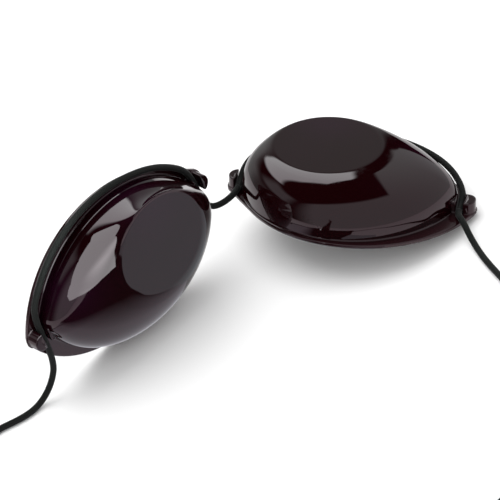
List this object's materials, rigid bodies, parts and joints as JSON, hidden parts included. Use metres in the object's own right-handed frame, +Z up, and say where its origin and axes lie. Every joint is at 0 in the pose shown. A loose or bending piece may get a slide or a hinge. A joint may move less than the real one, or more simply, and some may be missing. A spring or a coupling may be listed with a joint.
{
  "type": "tanning goggles",
  "caption": "Glossy dark tinted eye cups with flat round windows, held on one thin elastic cord that threads their slotted cleats and ties behind the head.",
  "frame": {"origin": "middle of the footprint of the eye cups, on the surface that they lie on", "axes": "+X along the spread of the two cups towards the left cup, +Y from the viewer towards the back, +Z up"},
  "size_m": [0.1402, 0.137, 0.0463],
  "materials": {
    "tinted_shell": "polished, deep wine-tinted, nearly opaque",
    "elastic_cord": "matt black braided elastic"
  },
  "bodies": {
    "elastic_cord": {"bridge_cord": "elastic_cord", "head_strap_left": "elastic_cord", "head_strap_right": "elastic_cord", "strap_knot": "elastic_cord"},
    "left_eye_cup": {"left_eye_cup": "tinted_shell", "left_cup_cord": "elastic_cord"},
    "right_eye_cup": {"right_eye_cup": "tinted_shell", "right_cup_cord": "elastic_cord"}
  },
  "joints": [
    {"name": "left_cup_swing", "type": "hinge", "parent": "elastic_cord", "child": "left_eye_cup", "pos_m": [-0.00562, 0.01868, 0.01544], "axis": [0, 0, 1], "range_deg": [-25, 25], "deforming": ["bridge_cord", "head_strap_left"]},
    {"name": "right_cup_swing", "type": "hinge", "parent": "elastic_cord", "child": "right_eye_cup", "pos_m": [-0.01404, 0.01056, 0.02293], "axis": [0, 0, 1], "range_deg": [-25, 25], "deforming": ["head_strap_right"]}
  ]
}
